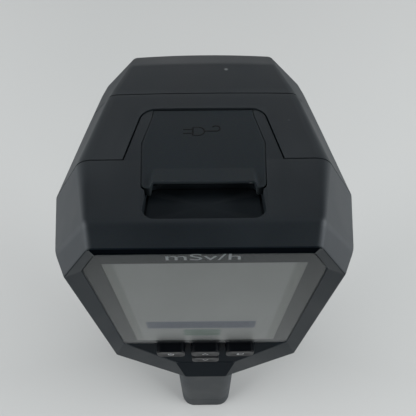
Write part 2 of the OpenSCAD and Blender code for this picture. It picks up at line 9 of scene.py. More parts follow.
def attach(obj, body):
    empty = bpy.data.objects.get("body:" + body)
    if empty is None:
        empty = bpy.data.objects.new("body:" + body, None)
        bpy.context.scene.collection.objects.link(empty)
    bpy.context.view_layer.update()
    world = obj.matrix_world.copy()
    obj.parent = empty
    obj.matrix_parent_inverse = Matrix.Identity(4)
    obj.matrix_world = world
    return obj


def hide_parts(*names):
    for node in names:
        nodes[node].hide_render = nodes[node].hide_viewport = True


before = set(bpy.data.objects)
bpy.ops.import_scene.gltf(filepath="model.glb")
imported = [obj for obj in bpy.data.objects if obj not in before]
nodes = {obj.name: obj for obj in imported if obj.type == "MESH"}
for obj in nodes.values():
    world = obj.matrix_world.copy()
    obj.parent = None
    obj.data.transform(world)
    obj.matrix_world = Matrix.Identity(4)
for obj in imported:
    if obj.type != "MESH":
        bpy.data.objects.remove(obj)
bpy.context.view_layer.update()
mm = 0.001
print("frame loaded:", len(nodes), "nodes")


# places: the head, the top face and the grip each have their own axes

head = {
    "glassTop": 195.0,   # height of the glass's top edge
    "tilt": 5.0,         # lean of the screen, degrees
    "fall": 7.0,         # fall of the top face, degrees
    "creaseD": 2.8, "creaseU": 9.7,
    "seamD": 20.9, "seam": 0.3,
    "midD": 46.0, "foreD": 59.7, "noseD": 66.4,
    "wall": 2.4,
    "windowU": -31.0, "windowR": 23.5, "ringR": 28.0,
}
grip = {
    "width": 28.0, "depth": 40.0, "corner": 7.0, "rake": 9.0,
    "split": 12.0, "seam": 0.25, "top": 128.0, "base": 13.0,
    "coverTop": 112.8, "frontCut": 113.05,   # top of the cover, and of the space cut for it
}

# right half outlines, [x, height above the glass's top edge], as in the solids
rimHalf = [[24.6, 5.9], [33.5, -8.6], [33.6, -82], [8.8, -123.3]]
creaseHalf = [[25, 9.7], [35, -3.9], [35.3, -84], [10, -126]]
seamHalf = [[29, 7.5], [39.4, -8.8], [38.4, -70], [26, -86]]
midHalf = [[25, 4.45], [34.7, -9.3], [34, -58], [22.4, -73.2]]
foreHalf = [[20.9, 2.75], [32, -9.6], [31.4, -52], [20.6, -66]]
noseHalf = [[20.3, 1.1], [30.8, -10.2], [30, -50], [19.6, -63.4]]
crown = {"mid": 0.3, "fore": 0.55, "nose": 0.7}
panelHalf = [[24.6, 0], [29.3, -8.3], [29.3, -71.8], [12, -102.5]]
glassHalf = [[24.5, -0.1], [29.2, -8.4], [29.2, -71.6], [27, -71.9]]


def rad(a):
    return math.radians(a)


def headPoint(x, d, u):
    # turn (depth, height) by the screen's tilt about X, then lift to the glass's top edge
    c, s = math.cos(rad(head["tilt"])), math.sin(rad(head["tilt"]))
    x, d, u = np.broadcast_arrays(np.asarray(x, float), d, u)
    return np.stack([x, d * c + u * s, head["glassTop"] - d * s + u * c], -1) * mm


def topPoint(x, s, z):
    # the top face falls away from the crease: turn (along, out) by the fall, then use headPoint
    c, n = math.cos(rad(head["fall"])), math.sin(rad(head["fall"]))
    x, s, z = np.broadcast_arrays(np.asarray(x, float), s, z)
    return headPoint(x, head["creaseD"] + s * c + z * n, head["creaseU"] - s * n + z * c)


def gripPoint(x, y, z):
    # lean by the grip's rake about X
    c, s = math.cos(rad(grip["rake"])), math.sin(rad(grip["rake"]))
    x, y, z = np.broadcast_arrays(np.asarray(x, float), y, z)
    return np.stack([x, y * c + z * s, -y * s + z * c], -1) * mm


def bothSides(half):
    # counter-clockwise outline from a right half given top to bottom
    h = np.asarray(half, float)
    return np.concatenate([h * [-1, 1], h[::-1]])


def roundedOutline(points, radius, grow=0.0, seg=7):
    # each corner of a convex outline moves out by grow, then turns along an arc of the given radius
    p = np.asarray(points, float)
    e = np.roll(p, -1, 0) - p
    e /= np.linalg.norm(e, axis=1)[:, None]
    n1 = np.stack([e[:, 1], -e[:, 0]], 1)
    n0 = np.roll(n1, 1, 0)
    dot = (n0 * n1).sum(1)
    c = p + grow * (n0 + n1) / (1 + dot)[:, None]
    r = np.maximum(np.broadcast_to(np.asarray(radius, float), (len(p),)), 0.02)
    bis = (n0 + n1) / np.linalg.norm(n0 + n1, axis=1)[:, None]
    half = 0.5 * np.arccos(np.clip(dot, -1, 1))
    centre = c - bis * (r / np.cos(half))[:, None]
    a = np.arctan2(n0[:, 1], n0[:, 0])[:, None] + 2 * half[:, None] * np.linspace(0, 1, seg)
    ring = centre[:, None, :] + r[:, None, None] * np.stack([np.cos(a), np.sin(a)], 2)
    return ring.reshape(-1, 2)


def filletRings(sections, radii, seg=5):
    # the line through matching points of the sections is softened at each one by a quadratic curve
    s = np.asarray(sections, float)
    out = [s[:1]]
    t = np.linspace(0, 1, seg)[:, None, None]
    for k in range(1, len(s) - 1):
        r = radii[k] * mm
        if r <= 0:
            out.append(s[k:k + 1])
            continue
        la = np.linalg.norm(s[k - 1] - s[k], axis=1)[:, None]
        lb = np.linalg.norm(s[k + 1] - s[k], axis=1)[:, None]
        a = s[k] + (s[k - 1] - s[k]) * np.minimum(r / np.maximum(la, 1e-9), 0.49)
        b = s[k] + (s[k + 1] - s[k]) * np.minimum(r / np.maximum(lb, 1e-9), 0.49)
        out.append((1 - t) ** 2 * a + 2 * t * (1 - t) * s[k] + t ** 2 * b)
    out.append(s[-1:])
    return np.concatenate(out)


def meshFrom(name, verts, faces, smooth=True):
    me = bpy.data.meshes.new(name)
    me.from_pydata(np.asarray(verts, float).reshape(-1, 3).tolist(), [], [list(f) for f in faces])
    me.validate()
    ob = bpy.data.objects.new(name, me)
    bpy.context.scene.collection.objects.link(ob)
    bm = bmesh.new()
    bm.from_mesh(me)
    bmesh.ops.remove_doubles(bm, verts=bm.verts, dist=1e-7)
    bmesh.ops.recalc_face_normals(bm, faces=bm.faces)
    bm.to_mesh(me)
    bm.free()
    me.shade_smooth() if smooth else me.shade_flat()
    return ob


def tubeFaces(rows, cols, offset=0):
    # quads between each ring and the next, closed round the ring
    i = np.arange(rows - 1)[:, None] * cols + offset
    j = np.arange(cols)[None, :]
    k = (j + 1) % cols
    return np.stack([i + j, i + k, i + cols + k, i + cols + j], -1).reshape(-1, 4)


def loft(name, rings, capStart=True, capEnd=True, ladder=False):
    # rings of points joined in order; each end is closed by a fan about its centre, or,
    # for a ring whose second half runs back along its first, by a ladder of quads
    r = np.asarray(rings, float)
    rows, cols = r.shape[:2]
    verts = [r.reshape(-1, 3)]
    faces = tubeFaces(rows, cols).tolist()
    extra = rows * cols
    j = np.arange(cols)
    k = np.arange(cols // 2 - 1)
    for ring, cap, first in ((r[0], capStart, 0), (r[-1], capEnd, (rows - 1) * cols)):
        if cap and ladder:
            rungs = np.stack([k, k + 1, cols - 2 - k, cols - 1 - k], 1) + first
            faces += rungs.tolist()
        elif cap:
            verts.append(ring.mean(0)[None])
            tri = np.stack([first + j, first + (j + 1) % cols, np.full(cols, extra)], 1)
            faces += tri.tolist()
            extra += 1
    return meshFrom(name, np.concatenate(verts), faces)


def modify(ob, kind, **settings):
    m = ob.modifiers.new(kind.lower(), kind)
    for k, v in settings.items():
        setattr(m, k, v)
    return m


def applyAll(ob):
    dg = bpy.context.evaluated_depsgraph_get()
    me = bpy.data.meshes.new_from_object(ob.evaluated_get(dg))
    old = ob.data
    bm = bmesh.new()
    bm.from_mesh(me)
    bmesh.ops.remove_doubles(bm, verts=bm.verts, dist=1e-6)
    bmesh.ops.dissolve_degenerate(bm, edges=bm.edges, dist=1e-6)
    if not any(f.calc_area() > 1e-9 for f in bm.faces):
        print("empty result:", ob.name)
    bm.to_mesh(me)
    bm.free()
    ob.modifiers.clear()
    ob.data = me
    me.name = old.name
    bpy.data.meshes.remove(old)
    return ob


def combine(ob, others, how="DIFFERENCE"):
    # each other closed shape is cut from, joined to or kept in common with ob, in order
    for other in others:
        modify(ob, "BOOLEAN", operation=how, object=other, solver="EXACT")
        applyAll(ob)
        bpy.data.objects.remove(other)
    return ob


def cleanShading(ob, angle=28):
    # flat faces stay flat and soft edges stay soft: normals weighted by face area, sharp past angle
    me = ob.data
    bm = bmesh.new()
    bm.from_mesh(me)
    bmesh.ops.remove_doubles(bm, verts=bm.verts, dist=2e-6)
    bmesh.ops.dissolve_degenerate(bm, edges=bm.edges, dist=1e-6)
    for e in bm.edges:
        e.smooth = len(e.link_faces) == 2 and e.calc_face_angle(0) < rad(angle)
    for f in bm.faces:
        f.smooth = True
    bm.to_mesh(me)
    bm.free()
    modify(ob, "WEIGHTED_NORMAL", weight=80, keep_sharp=True)
    return ob


def pocket(name, outline, radius, point, deep, mouth=0.0, flare=0.0, foot=0.1, proud=3.0,
           grow=0.0):
    # a cutter: sunk straight-sided outline with a rounded foot, whose mouth flares out
    # by a quarter circle
    a = np.linspace(0, math.pi / 2, 5)
    lip = [(mouth - flare + flare * math.sin(t),
            grow + flare * (1 - math.cos(t))) for t in a if flare]
    toe = [(-deep + foot * (1 - math.cos(t)), grow - foot + foot * math.sin(t)) for t in a]
    steps = toe + lip + [(mouth + proud, grow + flare)]
    rings = []
    for z, g in steps:
        o = roundedOutline(outline, np.maximum(np.asarray(radius, float) + g, 0.05), g)
        rings.append(point(o[:, 0], o[:, 1], z))
    return loft(name, rings)


def box(name, point, x0, x1, y0, y1, z0, z1):
    # a block between two corners, in the axes of the point function
    c = np.array([[x, y, z] for z in (z0, z1) for x, y in ((x0, y0), (x1, y0), (x1, y1), (x0, y1))])
    faces = [(0, 1, 2, 3), (7, 6, 5, 4), (0, 4, 5, 1), (1, 5, 6, 2), (2, 6, 7, 3), (3, 7, 4, 0)]
    return meshFrom(name, point(c[:, 0], c[:, 1], c[:, 2]), faces, smooth=False)


def facePoint(x, u, out):
    # outwards is towards the user, against the head's depth
    return headPoint(x, -np.asarray(out, float), u)


def sidePoint(d, u, out):
    # outwards is to the right, from the head's side
    return headPoint(sound["x"] + np.asarray(out), d, u)


def discCut(name, x, u, r, d0, d1, flare=0.0, seg=64):
    # a straight cylinder along the head's depth, its outer end flared by a quarter circle
    a = np.linspace(0, 2 * math.pi, seg, endpoint=False)
    q = np.linspace(0, math.pi / 2, 5) if flare else np.array([])
    steps = [(d0, r)] + [(d1 - flare + flare * math.sin(t),
                          r + flare * (1 - math.cos(t))) for t in q]
    steps += [(d1 + (2.0 if flare else 0.0), r + flare)]
    return loft(name, [headPoint(x + k * np.cos(a), d, u + k * np.sin(a)) for d, k in steps])


def rectOutline(w, h, x=0.0, y=0.0):
    return np.array([[-w / 2, -h / 2], [w / 2, -h / 2], [w / 2, h / 2], [-w / 2, h / 2]]) + [x, y]


def section(d, half, radius, grow=0.0, rise=0.0):
    # the top edge gets extra points, raised by the square of the distance from its corners
    o = roundedOutline(bothSides(half), radius, grow)
    k = np.linspace(1, -1, 15)[1:-1]
    x, u = o[-1]
    crown = np.stack([x * k, u + rise * (1 - k * k)], 1)
    o = np.concatenate([o, crown])
    return headPoint(o[:, 0], d, o[:, 1])


# materials

def linear(hexText):
    # sRGB to linear, channel by channel
    v = np.array([int(hexText[i:i + 2], 16) for i in (1, 3, 5)]) / 255
    v = np.where(v <= 0.04045, v / 12.92, ((v + 0.055) / 1.055) ** 2.4)
    return (*v.tolist(), 1.0)


def addNode(tree, kind, settings=None, **links):
    # one node with its settings; a link's value is a socket, anything else is set on the input
    n = tree.nodes.new(kind)
    for k, v in (settings or {}).items():
        setattr(n, k, v)
    for k, v in links.items():
        key = int(k[1:]) if k[0] == "i" and k[1:].isdigit() else k.replace("_", " ")
        if isinstance(v, bpy.types.NodeSocket):
            tree.links.new(v, n.inputs[key])
        else:
            n.inputs[key].default_value = v
    return n


def ramp(tree, factor, stops):
    n = addNode(tree, "ShaderNodeValToRGB", Fac=factor)
    el = n.color_ramp.elements
    while len(el) < len(stops):
        el.new(0.5)
    for e, (pos, col) in zip(el, stops):
        e.position = pos
        e.color = linear(col) if isinstance(col, str) else (col, col, col, 1)
    return n.outputs["Color"]


def layer(tree, share, under, upper):
    # the upper colour covers the one under it by the share
    return addNode(tree, "ShaderNodeMix", {"data_type": "RGBA"}, i0=share, i6=under,
                   i7=upper).outputs[2]


def remap(tree, value, lo, hi, first, last, settings=None):
    # a value between lo and hi becomes one between first and last, held at the ends
    return addNode(tree, "ShaderNodeMapRange", settings, Value=value, i1=lo, i2=hi, i3=first,
                   i4=last).outputs[0]


def newMaterial(name):
    m = bpy.data.materials.new(name)
    m.use_nodes = True
    t = m.node_tree
    t.nodes.clear()
    out = t.nodes.new("ShaderNodeOutputMaterial")
    bsdf = t.nodes.new("ShaderNodeBsdfPrincipled")
    t.links.new(bsdf.outputs[0], out.inputs[0])
    pos = t.nodes.new("ShaderNodeTexCoord").outputs["Object"]
    return m, t, bsdf, pos


def perMm(size):
    # texture scale for a pattern of this size in millimetres, on coordinates in metres
    return 1 / (size * mm)


def plastic(name, dark, light, grain=0.4, rough=(0.5, 0.62), bump=0.35, specks=0.0, wear=None,
            shine=0.5):
    # moulded plastic: a spark-eroded grain, soft patches from handling, rubbed edges and a
    # few dust specks
    m, t, b, pos = newMaterial(name)
    patch = addNode(t, "ShaderNodeTexNoise", Vector=pos, Scale=perMm(22), Detail=3.0)
    fine = addNode(t, "ShaderNodeTexNoise", Vector=pos, Scale=perMm(grain), Detail=2.0,
                   Roughness=0.6)
    col = ramp(t, patch.outputs["Fac"], [(0.3, dark), (0.7, light)])
    mot = addNode(t, "ShaderNodeMix", {"data_type": "RGBA", "blend_type": "OVERLAY"}, i0=0.3,
                  i6=col,
                  i7=fine.outputs["Color"])
    grey = addNode(t, "ShaderNodeHueSaturation", Saturation=1.15, Color=mot.outputs[2])
    col = grey.outputs[0]
    if wear:
        geo = t.nodes.new("ShaderNodeNewGeometry")
        edge = ramp(t, geo.outputs["Pointiness"], [(0.52, 0.0), (0.6, 1.0)])
        rub = addNode(t, "ShaderNodeMath", {"operation": "MULTIPLY"}, i0=edge,
                      i1=patch.outputs["Fac"])
        col = layer(t, rub.outputs[0], col, linear(wear))
    if specks:
        dots = addNode(t, "ShaderNodeTexVoronoi", Vector=pos, Scale=perMm(specks))
        spot = ramp(t, dots.outputs["Distance"], [(0.0, 1.0), (0.028, 0.0)])
        col = layer(t, spot, col, linear("#8d9192"))
    b.inputs["Specular IOR Level"].default_value = shine
    t.links.new(col, b.inputs["Base Color"])
    t.links.new(remap(t, patch.outputs["Fac"], 0.3, 0.7, *rough), b.inputs["Roughness"])
    bp = addNode(t, "ShaderNodeBump", Strength=bump, Distance=0.04 * mm, Height=fine.outputs["Fac"])
    t.links.new(bp.outputs[0], b.inputs["Normal"])
    b.inputs["IOR"].default_value = 1.5
    b.inputs["Specular Tint"].default_value = linear("#eef6ff")
    return m


def metal(name, colour, rough=0.3, lines=0.25, axis=2, bump=0.15, metallic=1.0):
    # drawn or turned metal: fine lines along one axis over a slightly cloudy finish
    m, t, b, pos = newMaterial(name)
    stretch = [1.0, 1.0, 1.0]
    stretch[axis] = 0.06
    mp = addNode(t, "ShaderNodeMapping", Vector=pos, Scale=stretch)
    hair = addNode(t, "ShaderNodeTexNoise", Vector=mp.outputs[0], Scale=perMm(lines), Detail=3.0)
    cloud = addNode(t, "ShaderNodeTexNoise", Vector=pos, Scale=perMm(9), Detail=2.0)
    base = linear(colour)
    tone = layer(t, cloud.outputs["Fac"], base, (base[0] * 0.8, base[1] * 0.8, base[2] * 0.82, 1))
    t.links.new(tone, b.inputs["Base Color"])
    matt = remap(t, hair.outputs["Fac"], 0.3, 0.7, rough * 0.8, rough * 1.3)
    t.links.new(matt, b.inputs["Roughness"])
    bp = addNode(t, "ShaderNodeBump", Strength=bump, Distance=0.02 * mm, Height=hair.outputs["Fac"])
    t.links.new(bp.outputs[0], b.inputs["Normal"])
    b.inputs["Metallic"].default_value = metallic
    return m


mouldedAbs = plastic("moulded black ABS", "#12171b", "#171d21", grain=0.42, rough=(0.48, 0.6),
                     bump=0.4, specks=26, wear="#303437", shine=0.35)
# the funnel round the glass has a coarser grain and almost no mirror share, and its colour is
# darkened as painted shade: one darker copy of the plastic for the band at the top, one for the
# band at the foot
funnelTopPaintedShade = plastic("ABS funnel top, painted shade", "#06090c", "#090c0f", grain=0.6, rough=(0.8, 0.9),
                    bump=0.6, shine=0.0)
funnelFootPaintedShade = plastic("ABS funnel foot, painted shade", "#0b1116", "#10161b", grain=0.6, rough=(0.7, 0.8),
                     bump=0.5, shine=0.05)
gripAbs = plastic("coarse moulded ABS", "#1b1e20", "#212426", grain=0.7, rough=(0.55, 0.68),
                  bump=0.6,
                  wear="#3a3d40", shine=0.35)
innerAbs = plastic("moulded grey ABS", "#3a3e40", "#474b4d", grain=0.6, rough=(0.5, 0.6), bump=0.3)
flapRubber = plastic("moulded silicone rubber", "#1b2023", "#20262a", grain=0.5, rough=(0.6, 0.72),
                     bump=0.3, specks=21, wear="#34383a", shine=0.22)
matRubber = plastic("grey silicone rubber", "#44484a", "#505557", grain=0.5, rough=(0.6, 0.75),
                    bump=0.3)
foamRubber = plastic("closed-cell foam", "#4b4f52", "#5d6265", grain=0.6, rough=(0.8, 0.95),
                     bump=0.9)
clothMesh = plastic("woven speaker cloth", "#2b2c2e", "#3d3f42", grain=0.35, rough=(0.85, 0.95),
                    bump=0.9)
chipEpoxy = plastic("moulded epoxy", "#151618", "#1d1f21", grain=0.3, rough=(0.45, 0.6), bump=0.3)
flapMark = plastic("inlaid flap mark", "#090a0b", "#0c0d0e", grain=0.5, rough=(0.7, 0.8), bump=0.2,
                   shine=0.2)
inkBlack = plastic("screen-printed ink", "#141719", "#191c1e", grain=0.3, rough=(0.55, 0.6),
                   bump=0.0, shine=0.3)
iconInk = plastic("white key print", "#b9bdbf", "#d0d3d5", grain=0.3, rough=(0.4, 0.5), bump=0.05)
leadPvc = plastic("red PVC lead", "#8e231c", "#a52c24", grain=0.8, rough=(0.35, 0.45), bump=0.1)
cellSleeve = plastic("blue shrink sleeve", "#28567f", "#32658f", grain=1.2, rough=(0.25, 0.35),
                     bump=0.12)
ceramicDip = plastic("dipped ceramic", "#b06e28", "#c27a30", grain=0.5, rough=(0.3, 0.45), bump=0.2)
windingTape = plastic("yellow winding tape", "#8f7a3a", "#a48c45", grain=0.8, rough=(0.35, 0.5),
                      bump=0.2)
polyimide = plastic("polyimide film", "#a0641d", "#b87424", grain=1.5, rough=(0.2, 0.3), bump=0.08)
micaSheet = plastic("mica sheet", "#b9a98a", "#cbbd9e", grain=2.5, rough=(0.15, 0.3), bump=0.15)
solderMask = plastic("green solder mask", "#14432b", "#1c5638", grain=1.6, rough=(0.25, 0.38),
                     bump=0.15)
zincSteel = metal("zinc-plated steel", "#a9acae", rough=0.32, lines=0.2)
drawnSteel = metal("drawn stainless steel", "#c4c7c9", rough=0.28, lines=0.22, axis=1)
groundSteel = metal("ground steel pin", "#b4b7b9", rough=0.22, lines=0.15, axis=0)
turnedBrass = metal("turned brass", "#b8944a", rough=0.25, lines=0.2)
nickelPlate = metal("nickel-plated steel", "#c8c6bf", rough=0.18, lines=0.3)
pressedAlloy = metal("pressed aluminium", "#c9ccce", rough=0.35, lines=0.35)
darkAnodised = metal("dark anodised aluminium", "#3c3f42", rough=0.38, lines=0.25, metallic=0.9)
blackCoat = plastic("black powder coat", "#15171a", "#1b1e21", grain=0.35, rough=(0.45, 0.58),
                    bump=0.5)


def keyGloss():
    # polished black ABS, with faint finger marks in the roughness
    m, t, b, pos = newMaterial("polished black ABS")
    smear = addNode(t, "ShaderNodeTexNoise", Vector=pos, Scale=perMm(3.5), Detail=4.0)
    b.inputs["Base Color"].default_value = linear("#0b0e12")
    matt = remap(t, smear.outputs["Fac"], 0.35, 0.75, 0.3, 0.42)
    b.inputs["Specular IOR Level"].default_value = 0.08
    t.links.new(matt, b.inputs["Roughness"])
    bp = addNode(t, "ShaderNodeBump", Strength=0.1, Distance=0.02 * mm, Height=smear.outputs["Fac"])
    t.links.new(bp.outputs[0], b.inputs["Normal"])
    return m


def clearGlass():
    # etched glass: nearly all light passes; the surface adds a mirror share, 0.02 face on,
    # that grows with the fifth power of the slant
    m = bpy.data.materials.new("anti-glare cover glass")
    m.use_nodes = True
    t = m.node_tree
    t.nodes.clear()
    out = t.nodes.new("ShaderNodeOutputMaterial")
    pos = t.nodes.new("ShaderNodeTexCoord").outputs["Object"]
    smear = addNode(t, "ShaderNodeTexNoise", Vector=pos, Scale=perMm(14), Detail=5.0)
    matt = remap(t, smear.outputs["Fac"], 0.4, 0.8, 0.34, 0.42)
    gloss = addNode(t, "ShaderNodeBsdfGlossy", Roughness=matt)
    clear = addNode(t, "ShaderNodeBsdfTransparent", Color=(0.93, 0.94, 0.94, 1))
    slant = addNode(t, "ShaderNodeLayerWeight", Blend=0.5)
    steep = addNode(t, "ShaderNodeMath", {"operation": "POWER"}, i0=slant.outputs["Facing"], i1=5.0)
    share = addNode(t, "ShaderNodeMath", {"operation": "MULTIPLY_ADD"}, i0=steep.outputs[0],
                    i1=0.42, i2=0.02)
    mix = addNode(t, "ShaderNodeMixShader", i0=share.outputs[0], i1=clear.outputs[0],
                  i2=gloss.outputs[0])
    t.links.new(mix.outputs[0], out.inputs[0])
    return m


polishedKey = keyGloss()
coverGlassMat = clearGlass()
print("materials made")


def dress(ob, mat):
    ob.data.materials.clear()
    ob.data.materials.append(mat)
    return ob


def finish(ob, mat, body, slot, *cadNodes, angle=28):
    cleanShading(ob, angle)
    dress(ob, mat)
    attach(ob, body)
    if cadNodes:
        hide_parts(*cadNodes)
    return ob


def roundedCopy(node, name, mat, body, width=0.25, angle=30):
    # the solid's own mesh, merged, with its sharp edges rolled over to a small radius
    me = nodes[node].data.copy()
    me.name = name
    bm = bmesh.new()
    bm.from_mesh(me)
    bmesh.ops.remove_doubles(bm, verts=bm.verts, dist=2e-6)
    bmesh.ops.dissolve_degenerate(bm, edges=bm.edges, dist=2e-6)
    bmesh.ops.dissolve_limit(bm, angle_limit=rad(0.6), verts=bm.verts, edges=bm.edges)
    bm.to_mesh(me)
    bm.free()
    me.shade_smooth()
    ob = bpy.data.objects.new(name, me)
    bpy.context.scene.collection.objects.link(ob)
    modify(ob, "BEVEL", width=width * mm, segments=3, limit_method="ANGLE", angle_limit=rad(angle))
    modify(ob, "WEIGHTED_NORMAL", weight=80, keep_sharp=True)
    dress(ob, mat)
    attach(ob, body)
    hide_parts(node)
    return ob


# rear housing

rear = {
    "seamR": 5.0, "edgeR": 2.2,
    "creaseSoft": 1.3, "rimSoft": 0.45,
    "tongueBack": 18.2, "tongueThick": 5.4,
    "scoopBack": 0.9, "scoopWidth": 26.3, "scoopDeep": 4.0,
    "moatDeep": 4.6, "moatOut": 0.06, "moatIn": -0.5,
    "keyPanel": 0.3, "glassSeat": 1.4,
    # openings as width, height, x and height of the centre
    "screenHole": (52.6, 68.2, 0, -37.6), "keyRoom": (38, 24, 0, -82.6),
}
keys = {"w": 10.0, "h": 6.9, "proud": 3.0, "brim": 0.12, "pitch": 12.6,
        "topU": -72.6, "rowGap": 1.7, "slack": 0.6}
keyPlaces = {"key_power": (-1, 0), "key_up": (0, 0), "key_enter": (1, 0), "key_down": (0, 1)}
flap = {
    "back": 8.8, "front": 36.65, "thick": 2.6, "corner": 1.5, "edge": 0.16,
    "hinge": 35.3, "drop": 1.1, "pin": 0.5,
    "lip": 0.85, "lipHalf": 11.3, "lipBack": 10.4, "earBack": 9.5,
    "rampEnd": 15.4, "bendEnd": 15.9,   # where the lip's ramp and its shifted rows end
}
port = {"width": 10, "height": 4.6, "s": 21.5, "plugWidth": 8.8, "plugHeight": 2.8}
seams = {"tongue": 0.32, "nose": 0.32, "rear": 0.06, "rearFront": 0.25}
nose = {"ringDeep": 1.2, "screwR": 2.2, "screwDeep": 2.2}
sound = {"count": 5, "width": 1.4, "tall": 15, "pitch": 3, "d": 30, "u": -36, "x": 37.5}
trigger = {"z": 107.0, "tall": 22.0, "slotWidth": 12.0, "slack": 4.6, "below": 1.4, "face": 20.0}
# each seat is a list of [distance from the grip's axis, radius]
gripScrews = {"z": (31, 74),
              "seat": [(18.4, 2.7), (19.75, 2.7), (19.9, 2.75), (20.0, 2.95), (22, 2.95)]}
capPlaces = [(-24.5, -11), (24.5, -11), (-22.4, -51.6), (22.4, -51.6)]

tongueOutline = np.array([[-18.8, 8.0], [18.8, 8.0], [18.8, 18.2], [15.5, 36.8], [-15.5, 36.8],
                          [-18.8, 18.2]])
flapOutline = np.array([[-13.9, 8.8], [13.9, 8.8], [15, 24], [13.05, 34.3], [13, 36.65],
                        [-13, 36.65], [-13.05, 34.3], [-15, 24]])


def keyCentre(name):
    i, row = keyPlaces[name]
    return i * keys["pitch"], keys["topU"] - keys["h"] / 2 - row * (keys["h"] + keys["rowGap"])


def headSolid(name, steps):
    # each step: depth, half outline, corner radius, grow, softness of the edge, and any rise
    # of the top edge
    rings = filletRings([section(*s[:4], *s[5:]) for s in steps], [s[4] for s in steps])
    return loft(name, rings)


def tonguePrism(name, grow, z0, z1, soft):
    # the tongue's outline carried up, its top edge rolled in along a quarter circle
    steps = [(z0, 0.0), (z1 - soft, 0.0)]
    for a in np.linspace(0.3, math.pi / 2, 4):
        steps.append((z1 - soft + soft * math.sin(a), -soft * (1 - math.cos(a))))
    r = np.array([0.6, 0.6, 0.6, 3.9, 3.9, 0.6])
    rings = []
    for z, g in steps:
        o = roundedOutline(tongueOutline, np.maximum(r + grow + g, 0.1), grow + g)
        rings.append(topPoint(o[:, 0], o[:, 1], z))
    return loft(name, rings)


def moat(outline, point):
    # a narrow deep groove round the scoop's floor: a closed tube of rectangular section
    # following the outline
    rings = []
    far, near, above, deep = rear["moatOut"], rear["moatIn"], 4, rear["moatDeep"]
    for grow, z in ((far, above), (far, -deep), (near, -deep), (near, above), (far, above)):
        o = roundedOutline(outline, 2.8 + grow, grow)
        rings.append(point(o[:, 0], o[:, 1], z))
    return loft("moat", rings, capStart=False, capEnd=False)


def makeRear():
    w = head["wall"]
    body = headSolid("rearShell", [
        (head["seamD"], seamHalf, rear["seamR"], 0, 0),
        (head["creaseD"], creaseHalf, rear["edgeR"], 0, rear["creaseSoft"]),
        (-1.5, rimHalf, rear["edgeR"], 0, rear["rimSoft"]),
        (0.0, panelHalf, 1.6, 0.16, 0.1),
        (rear["keyPanel"], panelHalf, 1.5, 0.12, 0.1),
        (rear["keyPanel"], panelHalf, 1.2, -6, 0),
    ])
    room = headSolid("room", [
        (4.2, creaseHalf, 1.0, -3.6, 0),
        (head["seamD"] + 1, seamHalf, 3.0, -w, 0),
    ])
    # the tongue is the shell's own skin carried forward over the top
    tongue = tonguePrism("tongueBlank", 0, -rear["tongueThick"], 0, 0.22)
    keep = box("keep", topPoint, -30, 30, rear["tongueBack"] - 0.12, 60, -20, 8)
    combine(tongue, [keep], "INTERSECT")
    portBlock = box("portBlock", headPoint, -17, 17, 3.2, head["seamD"] - 0.2, -2, 6)
    combine(body, [room])
    combine(body, [portBlock, tongue], "UNION")
    scoopOutline = rectOutline(rear["scoopWidth"], 12.0, 0, rear["scoopBack"] + 6.0)

    def scoopPoint(x, s, z):
        # the floor rises towards the user: its depth shrinks in a straight line from the lip
        # to the rear edge
        share = np.clip((np.asarray(s) - rear["scoopBack"]) / (flap["back"] - rear["scoopBack"]),
                        0, 1)
        z = np.where(np.asarray(z) < 0, z * (0.62 + 0.38 * share), z)
        return topPoint(x, s, z)

    cuts = [
        pocket("flapSeat", flapOutline, 1.6, topPoint, flap["thick"] + 0.3, flare=0.06, foot=0.15,
               grow=0.05),
        pocket("scoopCut", scoopOutline, 2.6, scoopPoint, rear["scoopDeep"], foot=0.3, grow=-0.25),
        moat(scoopOutline, scoopPoint),
        pocket("portCut", rectOutline(port["width"], port["height"], 0, port["s"]), 1.6, topPoint,
               9,
               mouth=-2.9, flare=0.2, proud=1),
        box("hingeCut", topPoint, -13.08, 13.08, flap["hinge"] - 2, 40, -3.4, 4),
        pocket("glassCut", bothSides(glassHalf), 1.5, facePoint, rear["glassSeat"], grow=0.04),
        pocket("screenCut", rectOutline(*rear["screenHole"]), 1.0, facePoint, 6),
        pocket("keyRoom", rectOutline(*rear["keyRoom"]), 2.0, facePoint, 9, mouth=-2.8, proud=0),
    ]
    for k in keyPlaces:
        x, u = keyCentre(k)
        hole = rectOutline(keys["w"] + keys["slack"], keys["h"] + keys["slack"], x, u)
        cuts.append(pocket(k + "Cut", hole, 1.9, facePoint, 4, foot=0.05))
    combine(body, cuts)
    finish(body, mouldedAbs, "instrument", "rear_abs", "rear_housing")
    return paintFunnelShade(body)


def paintFunnelShade(ob):
    # faces inside the rim's ridge that look along the screen's normal get painted shade, a darker
    # copy of the housing's plastic, split by whether they tip down (the top band) or up (the foot);
    # those that turn to the sides keep the housing's
    me = ob.data
    n = len(me.polygons)
    normal, centre = np.zeros(n * 3), np.zeros(n * 3)
    me.polygons.foreach_get("normal", normal)
    me.polygons.foreach_get("center", centre)
    normal, centre = normal.reshape(-1, 3), centre.reshape(-1, 3) / mm
    c, s = math.cos(rad(head["tilt"])), math.sin(rad(head["tilt"]))
    depth = centre[:, 1] * c - (centre[:, 2] - head["glassTop"]) * s
    facing = -normal[:, 1] * c + normal[:, 2] * s
    inside = (facing > 0.86) & (depth < 0.34) & (depth > -1.6) & (np.abs(normal[:, 0]) < 0.12)
    me.materials.append(funnelTopPaintedShade)
    me.materials.append(funnelFootPaintedShade)
    slots = inside * np.where(normal[:, 2] < -0.02, 1, 2)
    me.polygons.foreach_set("material_index", slots.astype(np.int32))
    me.update()
    return ob


makeRear()
print("rear housing made")


# main housing, nose cap, grip

def gripSolid(name, z0, z1, grow=0.0):
    # a rounded rectangle carried straight along the grip's axis
    flat = rectOutline(grip["width"], grip["depth"])
    o = roundedOutline(flat, max(grip["corner"] + grow, 0.5), grow, seg=11)
    return loft(name, [gripPoint(o[:, 0], o[:, 1], z) for z in (z0, z1)])


def belowBase():
    # everything under the grip's foot, level with the floor
    return box("below", lambda x, y, z: np.stack([x, y, z], -1) * mm,
               -50, 50, -60, 60, -20, grip["base"])


